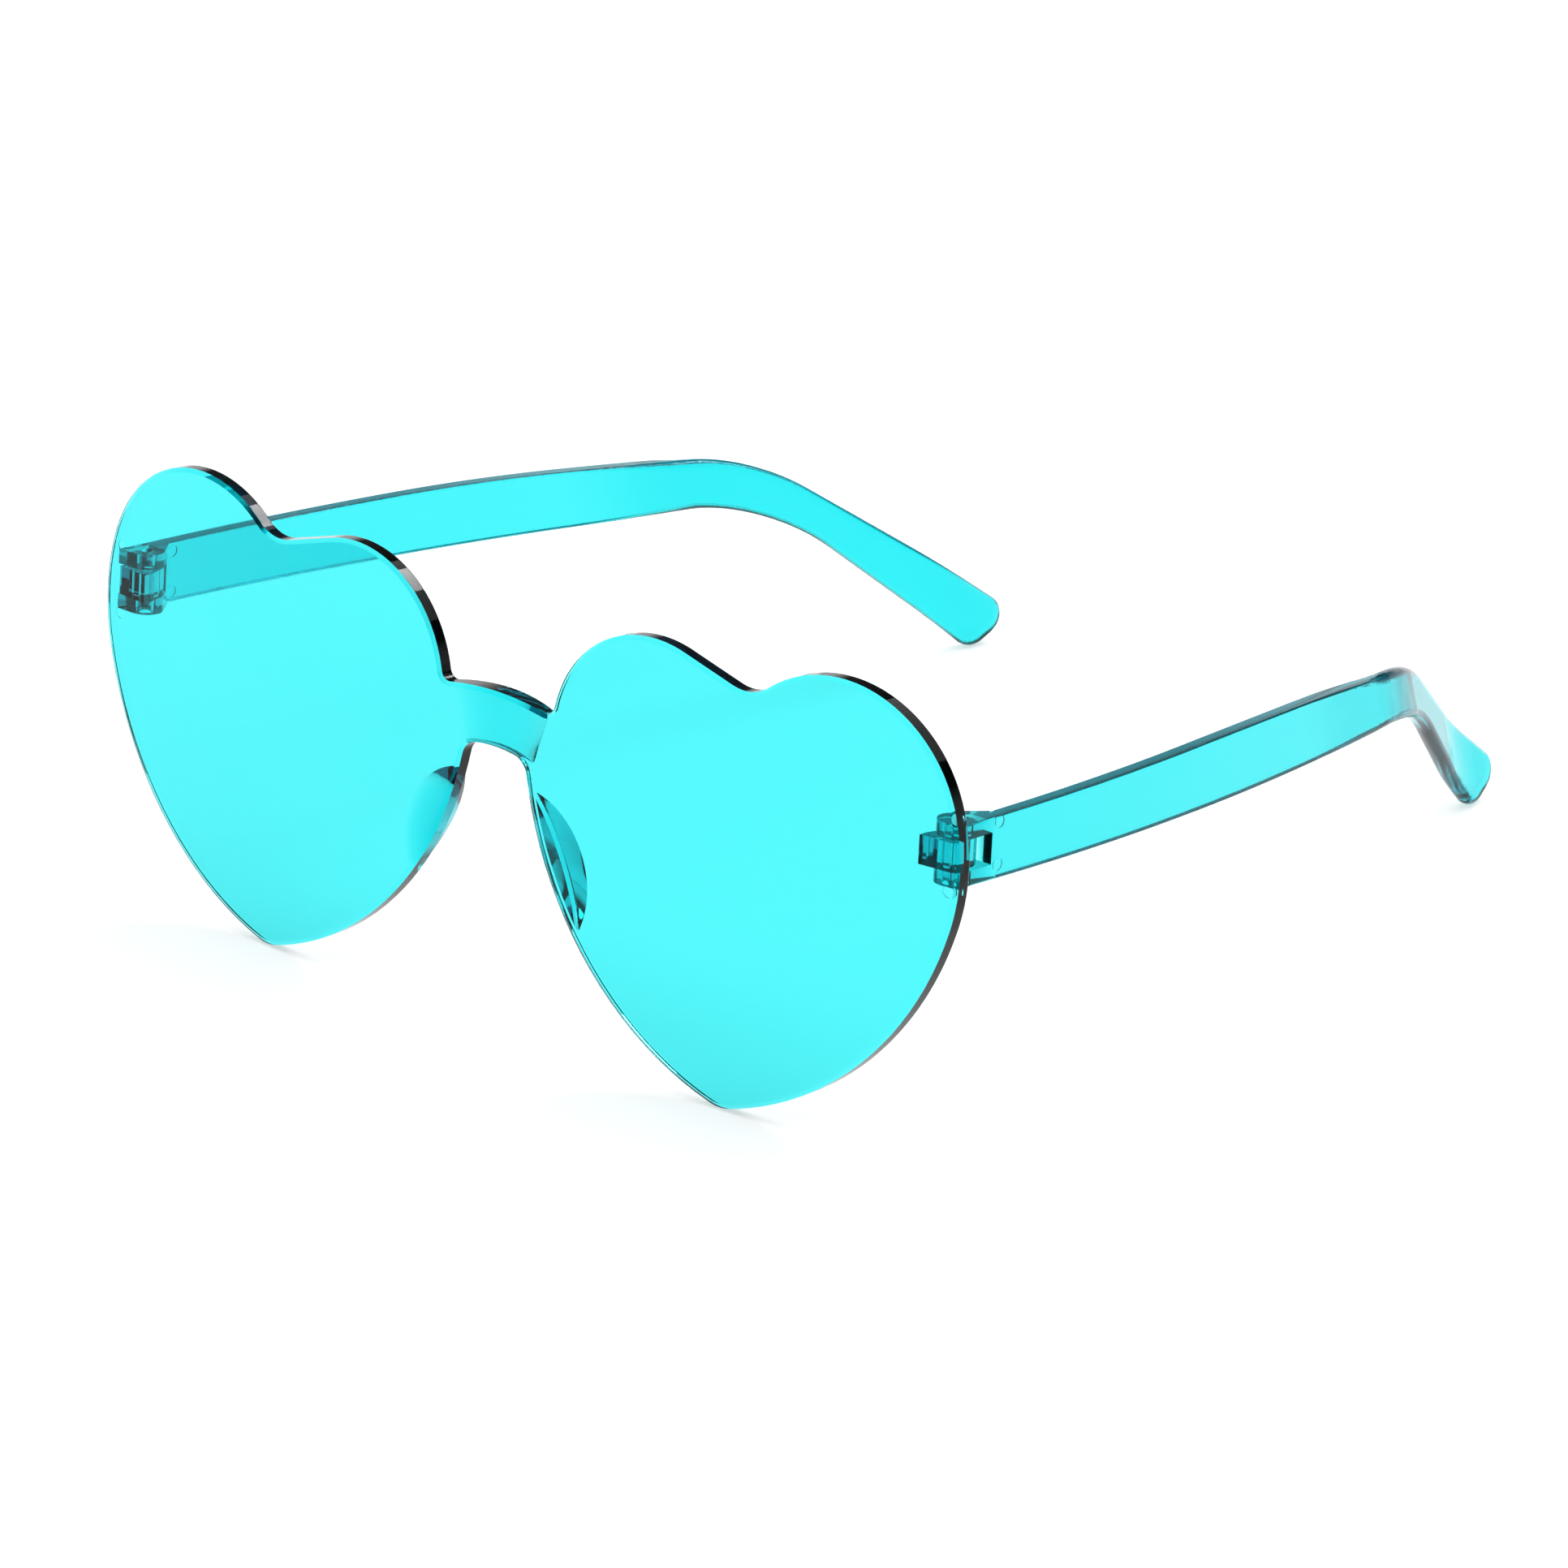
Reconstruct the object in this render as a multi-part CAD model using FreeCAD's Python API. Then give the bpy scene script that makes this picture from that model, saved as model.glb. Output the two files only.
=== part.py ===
import FreeCAD, Part
import math
import os

# Heart shaped sunglasses: a one-piece moulded front, two folding temples and two hinge pins.
# Sizes are in millimetres and degrees. Everything is drawn with the front upright: X across, from the
# middle of the bridge, Y back from the front face towards the ears, Z up from the tips of the hearts.
# The wearer's left is +X. The finished pieces are then leaned back until they rest on a table.

# Heart outline of one lens
INNER_LOBE_X = 25.3
INNER_LOBE_Z = 40.4
INNER_LOBE_R = 16.1
SHOULDER_SLOPE = 16.3        # straight run from the inner lobe down to the cleft
CLEFT_R = 6.0
OUTER_LOBE_X = 54.1
OUTER_LOBE_Z = 40.2
OUTER_LOBE_R = 18.1
OUTER_SIDE_ANGLE = 16.5      # direction in which the outer lobe passes into the flatter outer side
OUTER_SIDE_R = 26.0
OUTER_FLANK_R = 44.3
HEART_TIP_X = 38.9
HEART_TIP_R = 6.0
INNER_FLANK_R = 44.9
NOSE_HALF_GAP = 5.8          # inner flank's distance from the middle, at the next height
NOSE_GAP_Z = 32.6

# Lens plate
FACE_R = 644.0               # bow of the front in plan
LENS_T = 2.0
BEVEL_WIDTH = 0.55           # front edge: a shallow bevel, across the face
BEVEL_DEPTH = 0.25           # and down the wall
BACK_EDGE_R = 0.2

# Bridge
BRIDGE_TOP_Z = 43.5
BRIDGE_TOP_R = 43.0
BRIDGE_LOW_Z = 36.4
BRIDGE_LOW_R = 20.0
BRIDGE_CORNER_R = 1.3        # between the bridge's top and the inner lobe
NOSE_CORNER_R = 2.6          # between the bridge's underside and the inner flank
BRIDGE_T = 2.9               # at the middle; the back is crowned and dies out on the lenses
BRIDGE_END_X = 7.3           # where it does so, at its middle height
BRIDGE_END_SLOPE = 18.0      # the ends lean with the heart's side
BRIDGE_EDGE_R = 0.25

# Nose pads: domes on the back of the lenses, cut off on the nose side by a flared wall
PAD_X = 4.6
PAD_Z = 21.0
PAD_FOOT_R = 11.0
PAD_DOME_R = 19.0
PAD_FLARE = 17.0
PAD_STEP = 0.1               # the pad's wall stands back from the lens's rounded edge
PAD_RIDGE_R = 0.5

# Hinges
HINGE_INSET = 4.0            # pin, inward from the outer end of the lens
HINGE_Z = 39.6
KNUCKLE_R = 2.2
KNUCKLE_H = 3.7              # middle knuckle, on the front
HINGE_H = 7.9                # all three knuckles
KNUCKLE_FOOT = 2.8           # reach of the middle knuckle's foot along the lens, inward from the pin
KNUCKLE_FOOT_T = 1.3
PIN_R = 0.75
PIN_SUNK = 0.4               # pin ends below the faces of the fork
FORK_GUSSET = 6.0            # length over which the fork thins to the bar

# Clearances
PIN_FIT = 0.02               # pin in the fork, radial
PIN_RUN = 0.05               # pin in the middle knuckle, radial
KNUCKLE_GAP = 0.15           # between knuckles, each side
LENS_GAP = 0.25              # open temple to the back of the lens
SLOT_GAP = 0.75              # middle knuckle to the end wall of the fork's slot

# Temple seen from above
BAR_OUT = 1.8                # bar's middle line, outward from the pin
BAR_T = 2.0
BAR_BOW_R = 380.0
BAR_BOW_LENGTH = 73.0
SWELL_RUN = 18.0             # straight run over which the bar thickens to the ear end
EAR_T = 2.5
EAR_BEND_R = 32.0
EAR_TURN = 31.0              # direction after the bend, inward from straight back
EAR_RUN = 19.0
FLARE_R = 20.0
FLARE_TURN = 21.0            # the ear end turns outward again by this much
BEND_LEAN = 19.0             # the fold lines of these bends lean forward at the top

# Temple seen from the side: corners of the profile, measured from the end of the swell and from the
# hinge's middle height
CROWN_FORWARD = 24.5
CROWN_UP = 3.3
CROWN_REACH = 19.9           # length of the crown's long arc, to each side
BEND_TOP_BACK = 10.94
BEND_TOP_UP = 0.6
BEND_TOP_R = 32.0
BEND_LOW_BACK = 13.14
BEND_LOW_DOWN = 5.9
BEND_LOW_R = 32.5
EAR_TOP_BACK = 49.54
EAR_TOP_DOWN = 24.8
EAR_LOW_FORWARD = 7.2        # lower corner of the ear end, forward of the upper one
EAR_LOW_BELOW = 4.5          # and below it
EAR_END_R = 3.0
BAR_EDGE_R = 0.25            # edges are crisp at the hinge
EAR_FLAT = 0.3               # and full rounds at the ear, with this flat between them

# Ejector marks beside the hinges
MARK_R = 0.8
MARK_DEPTH = 0.12
MARK_LENS_INSET = 2.2        # inward from the outer end of the lens
MARK_LENS_LOW = 4.2          # below and above the hinge's middle
MARK_LENS_HIGH = 4.6
MARK_TEMPLE_BACK = 5.2
MARK_TEMPLE_SPREAD = 2.7

MARGIN = 10.0                # how far cutting and trimming shapes run past what they cut

UP = FreeCAD.Vector(0, 0, 1)
BACK = FreeCAD.Vector(0, 1, 0)
ACROSS = FreeCAD.Vector(1, 0, 0)
ORIGIN = FreeCAD.Vector(0, 0, 0)


def point(x, y, z):
    return FreeCAD.Vector(x, y, z)


def flat(x, z):
    """Point on the upright plane on which the front's outline is drawn."""
    return FreeCAD.Vector(x, 0, z)


def unit(v):
    return v * (1.0 / v.Length)


def meet(a, reach_a, b, reach_b, side):
    """Point at the given distances from a and b, left (1) or right (-1) of the line from a to b."""
    span = b - a
    along = (span.Length ** 2 + reach_a ** 2 - reach_b ** 2) / (2 * span.Length)
    across = math.sqrt(reach_a ** 2 - along ** 2)
    e = unit(span)
    return a + e * along + flat(-e.z, e.x) * (side * across)


def on_circle(centre, radius, towards):
    return centre + unit(towards - centre) * radius


def arc(centre, start, end):
    """Arc of less than a half turn about a centre."""
    radius = (start - centre).Length
    middle = centre + unit(unit(start - centre) + unit(end - centre)) * radius
    return Part.Arc(start, middle, end).toShape()


def line(start, end):
    return Part.LineSegment(start, end).toShape()


def wire_face(edges):
    return Part.Face(Part.Wire(Part.sortEdges(edges)[0]))


def mirrored(shape):
    return shape.mirror(ORIGIN, ACROSS)


def rounded_polygon(corners, place):
    """Face with straight sides and rounded corners (a, b, radius); place(a, b) gives the point."""
    edges = []
    ends = []
    count = len(corners)
    for i in range(count):
        before = place(*corners[i - 1][:2])
        here = place(*corners[i][:2])
        after = place(*corners[(i + 1) % count][:2])
        radius = corners[i][2]
        if radius == 0:
            ends.append((here, here))
            continue
        e_in = unit(here - before)
        e_out = unit(after - here)
        turn = e_in.getAngle(e_out)
        cut = radius * math.tan(turn / 2)
        start = here - e_in * cut
        end = here + e_out * cut
        middle = here + unit(e_out - e_in) * (radius / math.cos(turn / 2) - radius)
        edges.append(Part.Arc(start, middle, end).toShape())
        ends.append((start, end))
    for i in range(count):
        edges.append(line(ends[i - 1][1], ends[i][0]))
    return wire_face(edges)


# Centres of the outline's arcs
inner_lobe = flat(INNER_LOBE_X, INNER_LOBE_Z)
outer_lobe = flat(OUTER_LOBE_X, OUTER_LOBE_Z)
heart_tip = flat(HEART_TIP_X, HEART_TIP_R)
side_way = flat(math.cos(math.radians(OUTER_SIDE_ANGLE)), math.sin(math.radians(OUTER_SIDE_ANGLE)))
outer_side = outer_lobe + side_way * (OUTER_LOBE_R - OUTER_SIDE_R)
outer_flank = meet(
    outer_side, OUTER_FLANK_R - OUTER_SIDE_R,
    heart_tip, OUTER_FLANK_R - HEART_TIP_R, -1)
inner_flank = meet(
    flat(NOSE_HALF_GAP, NOSE_GAP_Z), INNER_FLANK_R,
    heart_tip, INNER_FLANK_R - HEART_TIP_R, 1)
bridge_top = flat(0, BRIDGE_TOP_Z - BRIDGE_TOP_R)
bridge_low = flat(0, BRIDGE_LOW_Z - BRIDGE_LOW_R)
bridge_corner = meet(
    bridge_top, BRIDGE_TOP_R + BRIDGE_CORNER_R,
    inner_lobe, INNER_LOBE_R + BRIDGE_CORNER_R, 1)
nose_corner = meet(
    bridge_low, BRIDGE_LOW_R - NOSE_CORNER_R,
    inner_flank, INNER_FLANK_R + NOSE_CORNER_R, 1)


def outline_face():
    """The whole front's outline: two hearts joined by the bridge."""
    slope = math.radians(SHOULDER_SLOPE)
    down_slope = flat(math.cos(slope), -math.sin(slope))
    off_slope = flat(math.sin(slope), math.cos(slope))
    shoulder = inner_lobe + off_slope * INNER_LOBE_R
    # the cleft's centre lies one cleft radius above the shoulder and touches the outer lobe
    start = shoulder + off_slope * CLEFT_R - outer_lobe
    reach = OUTER_LOBE_R + CLEFT_R
    run = -start.dot(down_slope) - math.sqrt(start.dot(down_slope) ** 2 - start.dot(start) + reach ** 2)
    cleft = shoulder + off_slope * CLEFT_R + down_slope * run

    top_end = on_circle(bridge_top, BRIDGE_TOP_R, bridge_corner)
    lobe_start = on_circle(inner_lobe, INNER_LOBE_R, bridge_corner)
    cleft_start = cleft - off_slope * CLEFT_R
    cleft_end = on_circle(outer_lobe, OUTER_LOBE_R, cleft)
    side_start = outer_lobe + side_way * OUTER_LOBE_R
    flank_start = on_circle(outer_flank, OUTER_FLANK_R, outer_side)
    tip_start = on_circle(outer_flank, OUTER_FLANK_R, heart_tip)
    tip_end = on_circle(inner_flank, INNER_FLANK_R, heart_tip)
    flank_end = on_circle(inner_flank, INNER_FLANK_R, nose_corner)
    arch_end = on_circle(bridge_low, BRIDGE_LOW_R, nose_corner)
    half = [
        arc(bridge_corner, top_end, lobe_start),
        arc(inner_lobe, lobe_start, shoulder),
        line(shoulder, cleft_start),
        arc(cleft, cleft_start, cleft_end),
        arc(outer_lobe, cleft_end, side_start),
        arc(outer_side, side_start, flank_start),
        arc(outer_flank, flank_start, tip_start),
        arc(heart_tip, tip_start, tip_end),
        arc(inner_flank, tip_end, flank_end),
        arc(nose_corner, flank_end, arch_end),
    ]
    middle = [
        arc(bridge_top, mirrored_point(top_end), top_end),
        arc(bridge_low, mirrored_point(arch_end), arch_end),
    ]
    return wire_face(half + [mirrored(edge) for edge in half] + middle)


def mirrored_point(p):
    return point(-p.x, p.y, p.z)


def lens_back(x):
    """Y of the back of the lens at X."""
    radius = FACE_R - LENS_T
    return FACE_R - math.sqrt(radius ** 2 - x ** 2)


def upright_slab(radius):
    """Upright cylinder whose nearest side is the front or back face of the lenses."""
    height = OUTER_LOBE_Z + OUTER_LOBE_R + 2 * MARGIN
    return Part.makeCylinder(radius, height, point(0, FACE_R, -MARGIN), UP)


def is_bowed(face, radius):
    """Whether a face is part of an upright cylinder of the given radius."""
    surface = face.Surface
    if not isinstance(surface, Part.Cylinder):
        return False
    return abs(surface.Radius - radius) < 1e-6 and abs(surface.Axis.z) > 0.99


def bowed_edges(shape, radius):
    """Edges of a shape that lie on its upright cylinder face of the given radius."""
    edges = []
    for face in shape.Faces:
        if is_bowed(face, radius):
            edges = edges + face.Edges
    return edges


def lens_plate(outline):
    """Both lenses and the bridge's skin: the outline between two bowed faces, bevelled in front."""
    prism = outline.copy()
    prism.translate(BACK * -MARGIN)
    prism = prism.extrude(BACK * (3 * MARGIN))
    plate = prism.common(upright_slab(FACE_R)).cut(upright_slab(FACE_R - LENS_T))
    plate = plate.makeFillet(BACK_EDGE_R, bowed_edges(plate, FACE_R - LENS_T))
    # the bevel's first size is measured on the face that comes first
    faces = sorted(plate.Faces, key=lambda face: not is_bowed(face, FACE_R))
    plate = Part.makeSolid(Part.makeShell(faces))
    return plate.makeChamfer(BEVEL_WIDTH, BEVEL_DEPTH, bowed_edges(plate, FACE_R))


def disc(centre, radius):
    return Part.Face(Part.Wire(Part.makeCircle(radius, centre, BACK)))


def crown_outline(z, half_width):
    """Level section of the bridge's crown: an arc that meets the lenses' backs at the half width."""
    fall = BRIDGE_T - lens_back(half_width)
    radius = (half_width ** 2 + fall ** 2) / (2 * fall)
    # the arc runs on into the lens
    foot = math.sqrt(radius ** 2 - (radius - BRIDGE_T + LENS_T / 2) ** 2)
    start = point(-foot, LENS_T / 2, z)
    end = point(foot, LENS_T / 2, z)
    arch = Part.Arc(start, point(0, BRIDGE_T, z), end).toShape()
    return Part.Wire([arch, line(end, start)])


def bridge_block():
    """Thick back of the bridge, between its two arcs, crowned so that it dies out on the lenses."""
    middle_z = (BRIDGE_TOP_Z + BRIDGE_LOW_Z) / 2
    reach = BRIDGE_TOP_Z - BRIDGE_LOW_Z
    lean = reach * math.tan(math.radians(BRIDGE_END_SLOPE))
    low = crown_outline(middle_z - reach, BRIDGE_END_X - lean)
    high = crown_outline(middle_z + reach, BRIDGE_END_X + lean)
    crown = Part.makeLoft([low, high], True, True)
    band = disc(bridge_top, BRIDGE_TOP_R).cut(disc(bridge_low, BRIDGE_LOW_R))
    block = crown.common(band.extrude(BACK * (BRIDGE_T + MARGIN))).Solids[0]
    back = max(block.Faces, key=lambda face: face.BoundBox.YMax)
    rims = [edge for edge in back.Edges if edge.BoundBox.YMax > BRIDGE_T - BRIDGE_EDGE_R]
    return block.makeFillet(BRIDGE_EDGE_R, rims)


def nose_pad():
    """Dome on the back of the lens, cut off by a flared wall towards the nose."""
    rise = math.sqrt(PAD_DOME_R ** 2 - PAD_FOOT_R ** 2)
    foot_y = lens_back(PAD_X + PAD_FOOT_R)
    dome = Part.makeSphere(PAD_DOME_R, point(PAD_X, foot_y - rise, PAD_Z))
    wall_r = INNER_FLANK_R - BACK_EDGE_R - PAD_STEP
    wall = Part.makeCylinder(wall_r, LENS_T / 2, inner_flank + BACK * (LENS_T / 2), BACK)
    shrink = MARGIN * math.tan(math.radians(PAD_FLARE))
    flare = Part.makeCone(wall_r, wall_r - shrink, MARGIN, inner_flank + BACK * LENS_T, BACK)
    pad = dome.common(wall.fuse(flare)).Solids[0]
    flared = [face for face in pad.Faces if isinstance(face.Surface, Part.Cone)]
    ridge = [edge for edge in flared[0].Edges if edge.BoundBox.YMax > foot_y + PAD_RIDGE_R]
    return pad.makeFillet(PAD_RIDGE_R, ridge)


# Hinge on the wearer's left, set in from the outer end of the lens
lens_end = outer_side.x + math.sqrt(OUTER_SIDE_R ** 2 - (HINGE_Z - outer_side.z) ** 2)
pin_x = lens_end - HINGE_INSET
bar_x = pin_x + BAR_OUT
temple_y = lens_back(bar_x + BAR_T / 2) + LENS_GAP
pin_y = temple_y + KNUCKLE_R
pin_axis = point(pin_x, pin_y, HINGE_Z)

# Where the bowed bar passes into the swell, and where that ends
bow_turn = math.asin(BAR_BOW_LENGTH / BAR_BOW_R)
swell_way = point(-math.sin(bow_turn), math.cos(bow_turn), 0)
swell_start = point(bar_x - BAR_BOW_R * (1 - math.cos(bow_turn)), temple_y + BAR_BOW_LENGTH, 0)
swell_end = swell_start + swell_way * SWELL_RUN
ear_edge_r = (EAR_T - EAR_FLAT) / 2


def tangent_point(outside, side):
    """Where a line from a point in plan touches the knuckle, left (1) or right (-1) seen from the pin."""
    way = outside - point(pin_x, pin_y, 0)
    angle = math.atan2(way.y, way.x) + side * math.acos(KNUCKLE_R / way.Length)
    return point(pin_x + KNUCKLE_R * math.cos(angle), pin_y + KNUCKLE_R * math.sin(angle), 0)


def upright(centre_z, height, radius, x, y):
    return Part.makeCylinder(radius, height, point(x, y, centre_z - height / 2), UP)


def plan_prism(points, height):
    """Upright prism on a plan polygon, centred on the hinge's middle height."""
    face = Part.Face(Part.makePolygon(points + [points[0]]))
    face.translate(UP * (HINGE_Z - height / 2))
    return face.extrude(UP * height)


def middle_knuckle():
    """The front's knuckle: a barrel on a foot that runs inward along the back of the lens."""
    outer_x = pin_x + KNUCKLE_R
    foot_x = pin_x - KNUCKLE_FOOT
    foot_end = point(foot_x, lens_back(foot_x) + KNUCKLE_FOOT_T, 0)
    plan = [
        point(outer_x, lens_back(outer_x) - LENS_T / 2, 0),
        point(outer_x, pin_y, 0),
        point(pin_x, pin_y, 0),
        tangent_point(foot_end, -1),
        foot_end,
        point(foot_x, lens_back(foot_x) - LENS_T / 2, 0),
    ]
    barrel = upright(HINGE_Z, KNUCKLE_H, KNUCKLE_R, pin_x, pin_y)
    return barrel.fuse(plan_prism(plan, KNUCKLE_H))


def lens_marks():
    x = lens_end - MARK_LENS_INSET
    y = lens_back(x) - MARK_DEPTH
    heights = (HINGE_Z - MARK_LENS_LOW, HINGE_Z + MARK_LENS_HIGH)
    return [Part.makeCylinder(MARK_R, MARGIN, point(x, y, z), BACK) for z in heights]


def whole_front():
    outline = outline_face()
    added = [middle_knuckle(), nose_pad()]
    cut = lens_marks() + [upright(HINGE_Z, HINGE_H, PIN_R + PIN_RUN, pin_x, pin_y)]
    added = added + [mirrored(shape) for shape in added] + [bridge_block()]
    cut = cut + [mirrored(shape) for shape in cut]
    return lens_plate(outline).fuse(added).cut(cut).removeSplitter().Solids[0]


def swell(*poles):
    """Curve that leaves and arrives along its end poles' directions."""
    curve = Part.BezierCurve()
    curve.setPoles(list(poles))
    return curve.toShape()


def bar_strip():
    """Temple in plan, from the lens to the ear end, raised along the leaning fold line."""
    # each leg: length or radius (minus where it curves outward), turn, thickness at its end
    legs = [
        (MARGIN, 0, BAR_T),
        (BAR_BOW_R, bow_turn, BAR_T),
        (SWELL_RUN, 0, EAR_T),
        (EAR_BEND_R, math.radians(EAR_TURN) - bow_turn, EAR_T),
        (EAR_RUN, 0, EAR_T),
        (-FLARE_R, -math.radians(FLARE_TURN), EAR_T),
        (EAR_TOP_BACK, 0, EAR_T),
    ]

    def outward(heading):
        return point(math.cos(heading), math.sin(heading), 0)

    spot = point(bar_x, temple_y - MARGIN, 0)
    heading = 0
    thick = BAR_T
    edges = [line(spot - outward(heading) * (thick / 2), spot + outward(heading) * (thick / 2))]
    for size, turn, next_thick in legs:
        if turn:
            centre = spot - outward(heading) * size
            end = centre + outward(heading + turn) * size
        else:
            end = spot + point(-math.sin(heading), math.cos(heading), 0) * size
        for side in (1, -1):
            side_start = spot + outward(heading) * (side * thick / 2)
            side_end = end + outward(heading + turn) * (side * next_thick / 2)
            if turn:
                edges.append(arc(centre, side_start, side_end))
            elif thick == next_thick:
                edges.append(line(side_start, side_end))
            else:
                third = (end - spot) * (1 / 3)
                edges.append(swell(side_start, side_start + third, side_end - third, side_end))
        spot = end
        heading += turn
        thick = next_thick
    edges.append(line(spot - outward(heading) * (thick / 2), spot + outward(heading) * (thick / 2)))
    strip = wire_face(edges)
    depth = EAR_TOP_DOWN + EAR_LOW_BELOW + MARGIN
    fold = UP - BACK * math.tan(math.radians(BEND_LEAN))
    strip.translate(UP * HINGE_Z - fold * depth)
    return strip.extrude(fold * (depth + MARGIN))


def side_prism():
    """Temple's side profile, carried right across it."""
    def place(y, up):
        return point(0, y, HINGE_Z + up)

    half = HINGE_H / 2
    crown = (swell_end.y - CROWN_FORWARD, CROWN_UP)
    bend_top = (swell_end.y + BEND_TOP_BACK, BEND_TOP_UP)
    crown_turn = (place(*crown) - place(temple_y, half)).getAngle(place(*bend_top) - place(*crown))
    corners = [
        (temple_y, half, 0),
        (*crown, CROWN_REACH / math.tan(crown_turn / 2)),
        (*bend_top, BEND_TOP_R),
        (swell_end.y + EAR_TOP_BACK, -EAR_TOP_DOWN, EAR_END_R),
        (swell_end.y + EAR_TOP_BACK - EAR_LOW_FORWARD, -EAR_TOP_DOWN - EAR_LOW_BELOW, EAR_END_R),
        (swell_end.y + BEND_LOW_BACK, -BEND_LOW_DOWN, BEND_LOW_R),
        (temple_y, -half, 0),
    ]
    return rounded_polygon(corners, place).extrude(ACROSS * (bar_x + MARGIN))


def edge_radius(vertex):
    """Rounding of the temple's long edges: crisp on the bar, growing along the swell, full on the ear."""
    plan = vertex.Point + BACK * ((vertex.Z - HINGE_Z) * math.tan(math.radians(BEND_LEAN)))
    share = (plan - swell_start).dot(swell_way) / SWELL_RUN
    return round(BAR_EDGE_R + (ear_edge_r - BAR_EDGE_R) * min(max(share, 0), 1), 6)


def is_side(face):
    """Test for the temple's inner and outer faces; the others run straight across."""
    u_low, u_high, v_low, v_high = face.ParameterRange
    return abs(face.normalAt((u_low + u_high) / 2, (v_low + v_high) / 2).x) > 0.01


def eased(bar):
    """The bar with its long edges rounded, more and more towards the ear."""
    edges = []
    for number, edge in enumerate(bar.Edges, 1):
        sides = [face for face in bar.ancestorsOfType(edge, Part.Face) if is_side(face)]
        if len(sides) == 1 and edge.BoundBox.YMax > temple_y + LENS_GAP / 2:
            edges.append((number, edge_radius(edge.Vertexes[0]), edge_radius(edge.Vertexes[-1])))
    document = FreeCAD.newDocument()
    base = document.addObject("Part::Feature")
    base.Shape = bar
    rounding = document.addObject("Part::Fillet")
    rounding.Base = base
    # the growing edges are listed first
    rounding.Edges = sorted(edges, key=lambda entry: entry[1] == entry[2])
    document.recompute()
    return rounding.Shape


def left_temple():
    profile = side_prism()
    bar = eased(bar_strip().common(profile).Solids[0])
    gusset_end = point(bar_x, pin_y + FORK_GUSSET, 0)
    plan = [
        point(bar_x, temple_y, 0),
        point(pin_x, temple_y, 0),
        point(pin_x, pin_y, 0),
        tangent_point(gusset_end, 1),
        gusset_end,
    ]
    fork = upright(HINGE_Z, 2 * HINGE_H, KNUCKLE_R, pin_x, pin_y).fuse(plan_prism(plan, 2 * HINGE_H))
    slot_h = KNUCKLE_H + 2 * KNUCKLE_GAP
    slot_end = KNUCKLE_R + SLOT_GAP
    slot_corner = pin_axis - point(MARGIN, MARGIN, slot_h / 2)
    slot = Part.makeBox(2 * MARGIN, MARGIN + slot_end, slot_h, slot_corner)
    hole = upright(HINGE_Z, 2 * HINGE_H, PIN_R + PIN_FIT, pin_x, pin_y)
    mark_y = pin_y + MARK_TEMPLE_BACK
    inner_x = bar_x - BAR_T / 2 - (mark_y - temple_y) ** 2 / (2 * BAR_BOW_R)
    marks = []
    for z in (HINGE_Z - MARK_TEMPLE_SPREAD, HINGE_Z + MARK_TEMPLE_SPREAD):
        marks.append(Part.makeCylinder(MARK_R, MARGIN, point(inner_x + MARK_DEPTH, mark_y, z), -ACROSS))
    return bar.fuse(fork.common(profile)).cut([slot, hole] + marks).removeSplitter().Solids[0]


def left_pin():
    length = HINGE_H - 2 * PIN_SUNK
    pin = upright(HINGE_Z, length, PIN_R, pin_x, pin_y)
    rims = [edge for edge in pin.Edges if isinstance(edge.Curve, Part.Circle)]
    return pin.makeChamfer(PIN_R / 5, rims).Solids[0]


def leaned(shape, degrees):
    copy = shape.copy()
    copy.rotate(ORIGIN, ACROSS, -degrees)
    return copy


def lowest(shape, degrees):
    return leaned(shape, degrees).optimalBoundingBox(False, False).ZMin


def resting_lean(front, temple):
    """Lean at which the heart tips and the temple's ear end stand on one level."""
    first, second = 0.0, 5.0
    step_first = lowest(temple, first) - lowest(front, first)
    while abs(second - first) > 1e-6:
        step_second = lowest(temple, second) - lowest(front, second)
        slope = (step_second - step_first) / (second - first)
        first, step_first = second, step_second
        second = second - step_second / slope
    return second


nodes = {"front": whole_front(), "left_temple": left_temple(), "left_hinge_pin": left_pin()}
nodes["right_temple"] = mirrored(nodes["left_temple"])
nodes["right_hinge_pin"] = mirrored(nodes["left_hinge_pin"])

# Set on the table, with the origin under the middle of the whole
lean = resting_lean(nodes["front"], nodes["left_temple"])
nodes = {name: leaned(shape, lean) for name, shape in nodes.items()}
boxes = [shape.optimalBoundingBox(False, False) for shape in nodes.values()]
front_y = min(box.YMin for box in boxes)
back_y = max(box.YMax for box in boxes)
shift = point(0, -(front_y + back_y) / 2, -min(box.ZMin for box in boxes))

os.makedirs("parts", exist_ok=True)
for name, shape in nodes.items():
    shape.translate(shift)
    shape.exportStep(f"parts/{name}.step")
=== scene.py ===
import bpy
import math
from mathutils import Matrix, Vector

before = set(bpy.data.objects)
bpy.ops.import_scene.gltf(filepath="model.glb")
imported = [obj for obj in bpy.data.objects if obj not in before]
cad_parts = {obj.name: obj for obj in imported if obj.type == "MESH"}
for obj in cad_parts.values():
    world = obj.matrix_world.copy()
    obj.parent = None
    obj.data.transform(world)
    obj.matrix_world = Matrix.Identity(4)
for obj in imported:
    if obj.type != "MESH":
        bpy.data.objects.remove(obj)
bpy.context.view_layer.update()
scene = bpy.context.scene
scene.view_settings.view_transform = "Standard"

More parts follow.
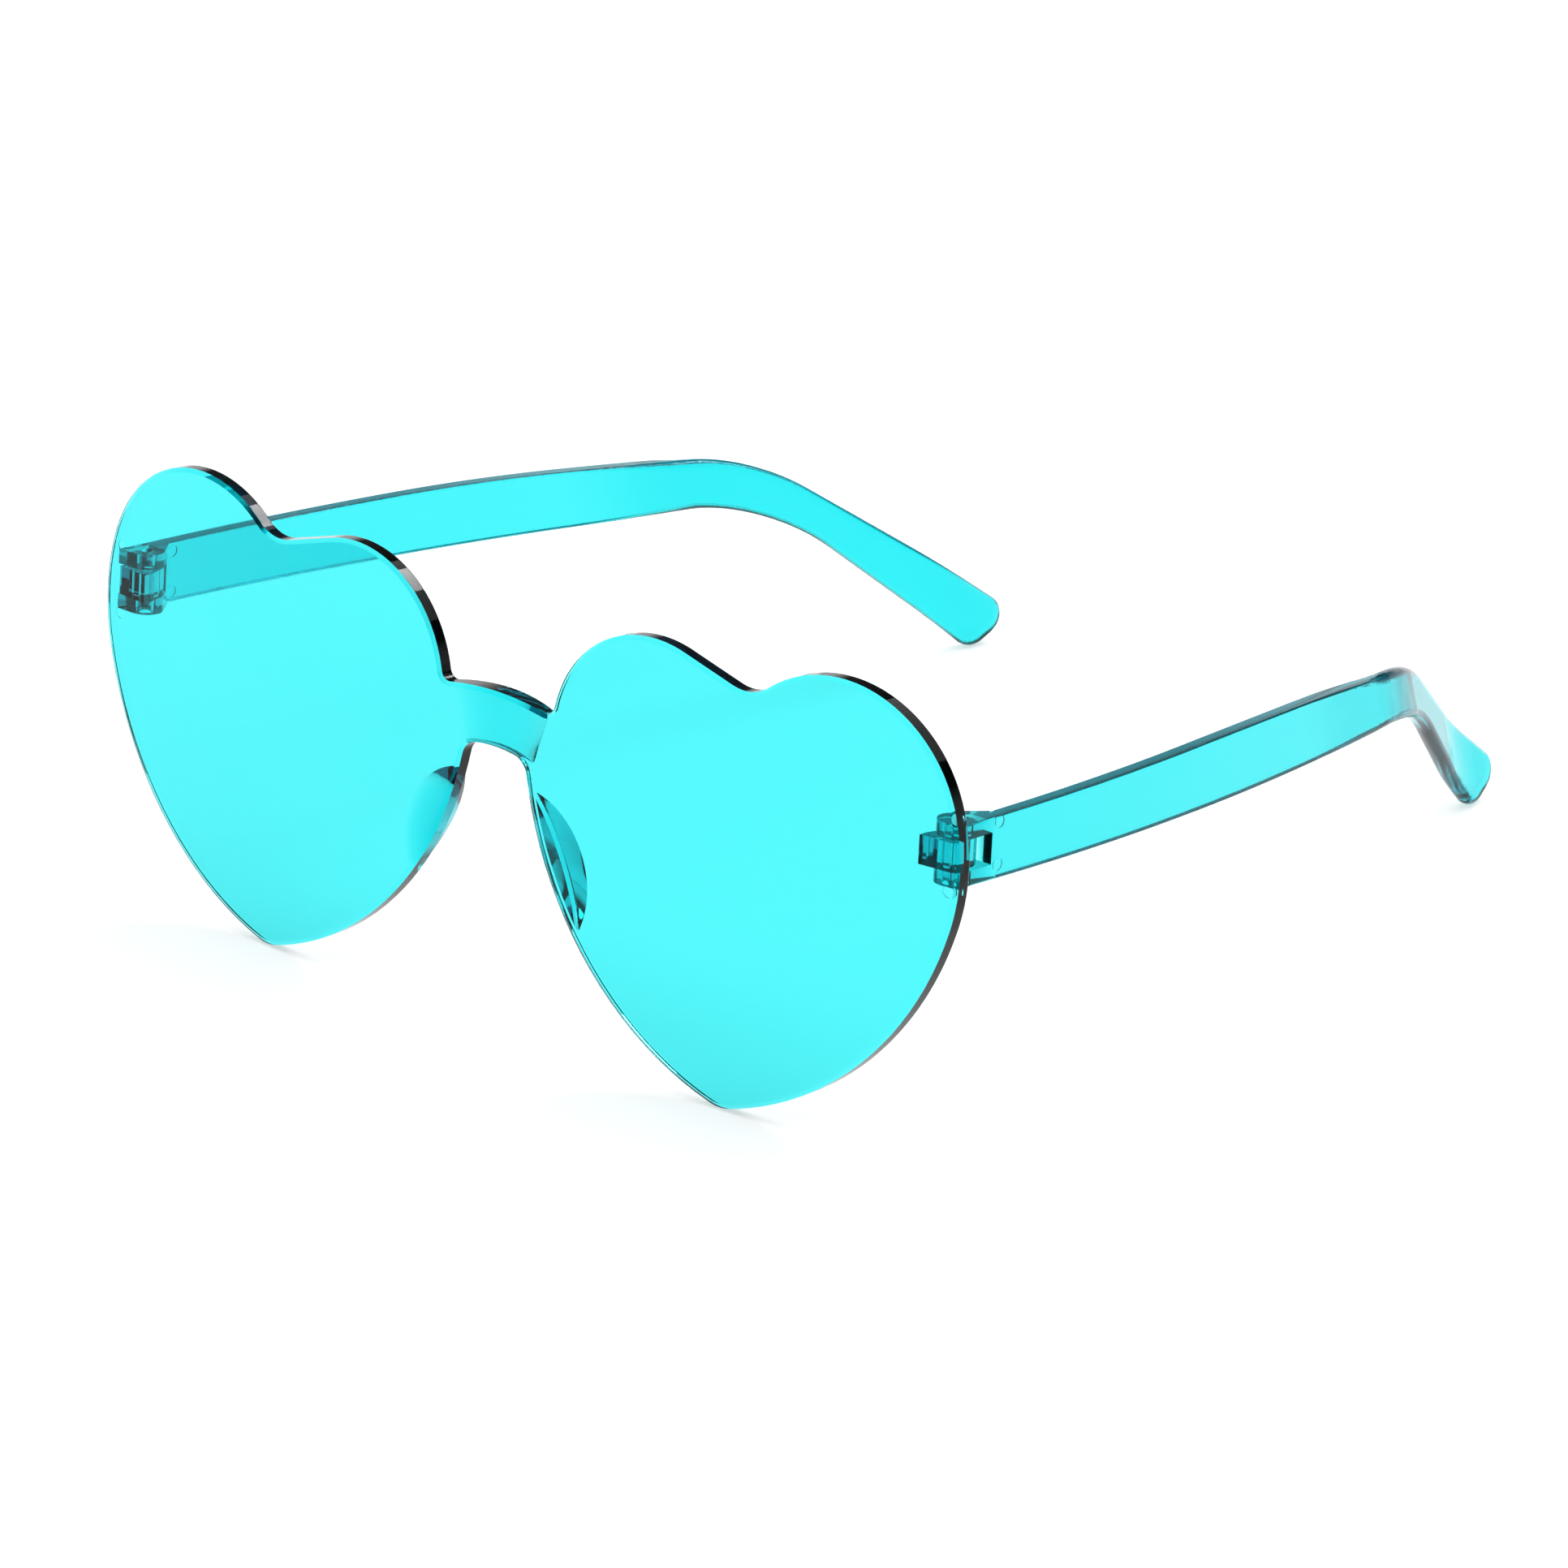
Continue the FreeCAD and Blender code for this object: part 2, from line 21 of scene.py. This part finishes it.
# Clear turquoise polycarbonate, which loses light at (1 - colour) x density per metre
TINT = (0.0104, 0.9096, 0.924)
LENS_DENSITY = 1250.0
TEMPLE_DENSITY = 1440.0
PLASTIC_IOR = 1.58
SQUARE_ON_SHINE = 0.1            # share of the reflection that is left where a face is seen square on
POLISHED = 0.012                 # roughness of the front and the pins
SATIN = 0.09                     # roughness of the temples
HAZE_SCALE = 55.0
HAZE_DETAIL = 4.0
HAZE_RANGE = (0.35, 0.75)        # noise values between which the polish goes from clear to hazy
FLOW_SCALE = 38.0
FLOW_DETAIL = 1.5
FLOW_DEPTH = 0.0006

# Studio, in metres
FLOOR_SIZE = 12.0
FLOOR_DROP = 0.0002              # below the table plane, so that no faces coincide
FLOOR_GREY = 0.8
FLOOR_GLOW = 0.55
WALL_TOP = 0.12                  # sine of the elevation at which the pale walls begin to darken
CEILING_START = 0.26
WALL_WHITE = 1.0
CEILING_GREY = 0.08
LIGHT_BOUNCES = 24               # light that is guided along inside the plastic turns back many times
GLOSSY_BOUNCES = 16

# Camera, solved from the photograph
EYE = Vector((0.82691, -0.91600, 0.50074))
AIM = Vector((0.04781, -0.06926, 0.04411))
ROLL = math.radians(-0.2695)
FOCAL_LENGTH = 237.936
SENSOR_WIDTH = 36.0
NEAREST = 0.01


def empty_tree(owner):
    """Clears the owner's node tree and gives its functions for adding a node and a link."""
    owner.use_nodes = True
    tree = owner.node_tree
    tree.nodes.clear()
    return tree.nodes.new, tree.links.new


def grey(level):
    return (level, level, level, 1.0)


def noise(add, link, place, scale, detail):
    """Noise that is fixed to the piece."""
    texture = add("ShaderNodeTexNoise")
    texture.inputs["Scale"].default_value = scale
    texture.inputs["Detail"].default_value = detail
    link(place.outputs["Object"], texture.inputs["Vector"])
    return texture.outputs["Fac"]


def clear_plastic(name, density, roughness, haze, wave):
    """Clear plastic that loses light along the way through it: thin plates are pale, edges deep."""
    material = bpy.data.materials.new(name)
    add, link = empty_tree(material)
    out = add("ShaderNodeOutputMaterial")
    shader = add("ShaderNodeBsdfPrincipled")
    shader.inputs["Base Color"].default_value = grey(1.0)
    shader.inputs["Transmission Weight"].default_value = 1.0
    shader.inputs["IOR"].default_value = PLASTIC_IOR
    shader.inputs["Specular Tint"].default_value = grey(SQUARE_ON_SHINE)
    link(shader.outputs["BSDF"], out.inputs["Surface"])
    inside = add("ShaderNodeVolumeAbsorption")
    inside.inputs["Color"].default_value = (*TINT, 1.0)
    inside.inputs["Density"].default_value = density
    link(inside.outputs["Volume"], out.inputs["Volume"])

    place = add("ShaderNodeTexCoord")
    # handling marks: faint patches where the polish is a little duller
    dull = add("ShaderNodeMapRange")
    dull.inputs["From Min"].default_value = HAZE_RANGE[0]
    dull.inputs["From Max"].default_value = HAZE_RANGE[1]
    dull.inputs["To Min"].default_value = roughness
    dull.inputs["To Max"].default_value = roughness + haze
    link(noise(add, link, place, HAZE_SCALE, HAZE_DETAIL), dull.inputs["Value"])
    link(dull.outputs["Result"], shader.inputs["Roughness"])
    # the slow unevenness of a moulded face
    bump = add("ShaderNodeBump")
    bump.inputs["Strength"].default_value = wave
    bump.inputs["Distance"].default_value = FLOW_DEPTH
    link(noise(add, link, place, FLOW_SCALE, FLOW_DETAIL), bump.inputs["Height"])
    link(bump.outputs["Normal"], shader.inputs["Normal"])
    return material


def white_ground(name):
    """Matt floor with the object's shadow, which looks white directly, in the plastic and through it."""
    material = bpy.data.materials.new(name)
    add, link = empty_tree(material)
    out = add("ShaderNodeOutputMaterial")
    matt = add("ShaderNodeBsdfDiffuse")
    matt.inputs["Color"].default_value = grey(FLOOR_GREY)
    lit = add("ShaderNodeEmission")
    lit.inputs["Color"].default_value = grey(1.0)
    lit.inputs["Strength"].default_value = FLOOR_GLOW
    both = add("ShaderNodeAddShader")
    link(matt.outputs["BSDF"], both.inputs[0])
    link(lit.outputs["Emission"], both.inputs[1])
    path = add("ShaderNodeLightPath")
    seen = path.outputs["Is Camera Ray"]
    for ray in ("Is Glossy Ray", "Is Transmission Ray"):
        either = add("ShaderNodeMath")
        either.operation = "MAXIMUM"
        link(seen, either.inputs[0])
        link(path.outputs[ray], either.inputs[1])
        seen = either.outputs["Value"]
    choose = add("ShaderNodeMixShader")
    link(seen, choose.inputs["Fac"])
    link(matt.outputs["BSDF"], choose.inputs[1])
    link(both.outputs["Shader"], choose.inputs[2])
    link(choose.outputs["Shader"], out.inputs["Surface"])
    return material


def room(name):
    """The room around the table: pale walls low down, a dark ceiling above them."""
    world = bpy.data.worlds.new(name)
    add, link = empty_tree(world)
    out = add("ShaderNodeOutputWorld")
    around = add("ShaderNodeBackground")
    around.inputs["Strength"].default_value = 1.0
    place = add("ShaderNodeTexCoord")
    apart = add("ShaderNodeSeparateXYZ")
    ramp = add("ShaderNodeValToRGB")
    wall, ceiling = ramp.color_ramp.elements
    wall.position = WALL_TOP
    wall.color = grey(WALL_WHITE)
    ceiling.position = CEILING_START
    ceiling.color = grey(CEILING_GREY)
    link(place.outputs["Generated"], apart.inputs["Vector"])
    link(apart.outputs["Z"], ramp.inputs["Fac"])
    link(ramp.outputs["Color"], around.inputs["Color"])
    link(around.outputs["Background"], out.inputs["Surface"])
    return world


def facing(place, aim):
    """The turn that points -Z from one place to the other, with Y up."""
    return (Vector(aim) - Vector(place)).to_track_quat("-Z", "Y")


def softbox(name, place, aim, width, height, watts):
    """An area lamp that the camera itself does not see."""
    lamp = bpy.data.lights.new(name, "AREA")
    lamp.shape = "RECTANGLE"
    lamp.size = width
    lamp.size_y = height
    lamp.energy = watts
    thing = bpy.data.objects.new(name, lamp)
    thing.location = place
    thing.rotation_euler = facing(place, aim).to_euler()
    thing.visible_camera = False
    scene.collection.objects.link(thing)


finishes = {
    "front": clear_plastic("lens_plastic", LENS_DENSITY, POLISHED, haze=0.03, wave=0.04),
    "left_temple": clear_plastic("temple_plastic", TEMPLE_DENSITY, SATIN, haze=0.04, wave=0.04),
    "left_hinge_pin": clear_plastic("pin_plastic", LENS_DENSITY, POLISHED, haze=0.05, wave=0.02),
}
finishes["right_temple"] = finishes["left_temple"]
finishes["right_hinge_pin"] = finishes["left_hinge_pin"]
for node, material in finishes.items():
    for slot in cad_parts[node].material_slots:
        slot.material = material

bpy.ops.mesh.primitive_plane_add(size=FLOOR_SIZE, location=(0.0, 0.0, -FLOOR_DROP))
floor = bpy.context.object
floor.name = "floor"
floor.data.materials.append(white_ground("floor_white"))

scene.world = room("studio")
softbox("top_box", (0.25, 0.3, 1.15), (0.0, 0.0, 0.0), width=2.2, height=2.2, watts=18.6)
softbox("side_box", (-0.9, -0.2, 0.7), (0.0, 0.0, 0.03), width=0.6, height=0.6, watts=2.5)
# gives the glints on the upper edge walls of the hearts
softbox("back_strip", (0.02, 0.82, 0.86), (0.0, 0.0, 0.04), width=0.4, height=0.1, watts=1.5)
scene.cycles.max_bounces = LIGHT_BOUNCES
scene.cycles.glossy_bounces = GLOSSY_BOUNCES
scene.cycles.transmission_bounces = LIGHT_BOUNCES

view = bpy.data.cameras.new("camera")
view.sensor_fit = "HORIZONTAL"
view.sensor_width = SENSOR_WIDTH
view.lens = FOCAL_LENGTH
view.clip_start = NEAREST
camera = bpy.data.objects.new("camera", view)
turn = facing(EYE, AIM).to_matrix() @ Matrix.Rotation(ROLL, 3, "Z")
camera.matrix_world = Matrix.Translation(EYE) @ turn.to_4x4()
scene.collection.objects.link(camera)
scene.camera = camera
